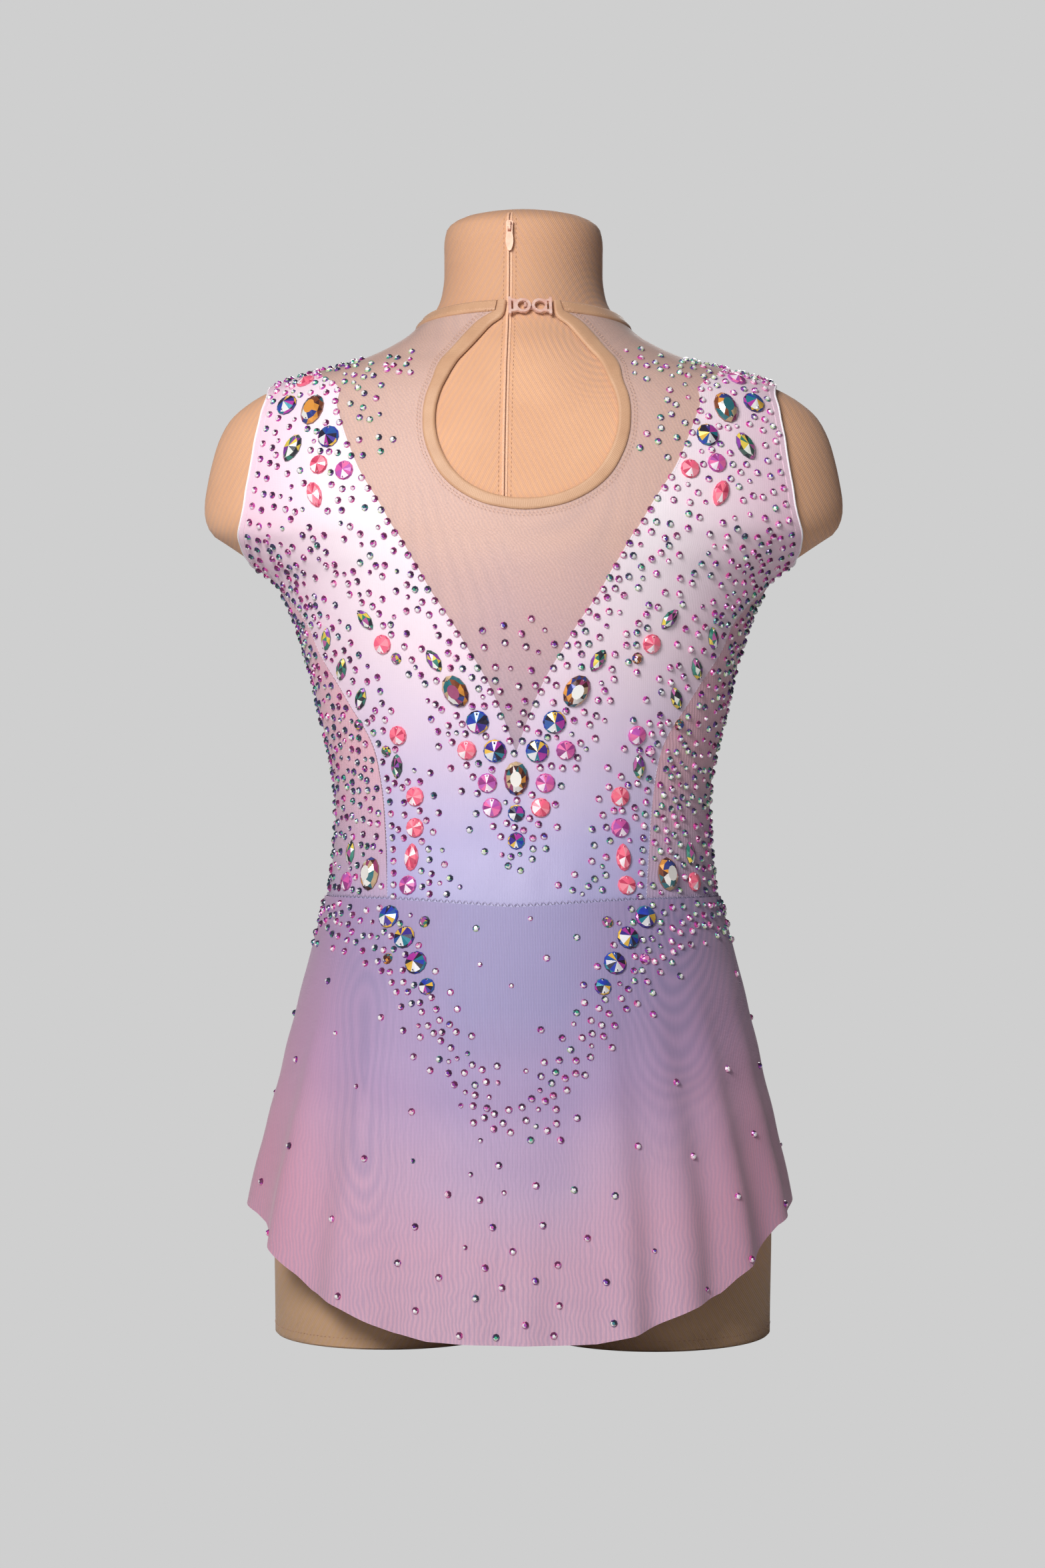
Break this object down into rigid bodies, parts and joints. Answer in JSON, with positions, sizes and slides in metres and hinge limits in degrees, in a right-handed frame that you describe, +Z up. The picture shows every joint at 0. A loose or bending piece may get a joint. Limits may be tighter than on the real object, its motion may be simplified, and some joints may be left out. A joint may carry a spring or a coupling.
{
  "type": "rhythmic gymnastics leotard on a dress form",
  "caption": "Sleeveless gymnastics leotard with a keyhole back, clear clasp, raised stones and a fluted sheer skirt, on a limbless fabric dress form.",
  "frame": {"origin": "centre of the bounding box at the cut faces of the thigh stumps", "axes": "+Z up along the body, -Y toward the garment's back, which is the pictured side, +X to the right when the back is seen"},
  "size_m": [0.393, 0.2454, 0.69],
  "materials": {
    "form_cover": "matt fine stretch knit",
    "zip_plastic": "satin enamelled zip slider and pull",
    "power_mesh": "sheer power mesh",
    "lycra": "satin stretch lycra, dyed from near white to lavender",
    "panel_mesh": "pink stretch mesh",
    "brief_lycra": "satin stretch lycra",
    "skirt_mesh": "sheer stretch mesh, dyed from lavender to mauve",
    "binding": "folded stretch binding with a stitched line",
    "clasp_plastic": "clear rose plastic"
  },
  "bodies": {
    "dressed_form": {"form": "form_cover", "zip_slider": "zip_plastic", "back_yoke": "power_mesh", "front_yoke": "power_mesh", "back_bodice": "lycra", "front_bodice": "lycra", "side_panel_left": "panel_mesh", "side_panel_right": "panel_mesh", "brief_back": "brief_lycra", "brief_front": "brief_lycra", "gusset": "brief_lycra", "skirt_back": "skirt_mesh", "skirt_front": "skirt_mesh", "neck_binding": "binding", "keyhole_binding": "binding", "clasp_eye": "clasp_plastic", "clasp_hook": "clasp_plastic"},
    "zip_pull": {"zip_pull": "zip_plastic"}
  },
  "joints": [
    {"name": "zip_pull_hinge", "type": "hinge", "parent": "dressed_form", "child": "zip_pull", "pos_m": [-0.0058, -0.0312, 0.674], "axis": [-1, 0, 0], "range_deg": [0, 160]}
  ]
}
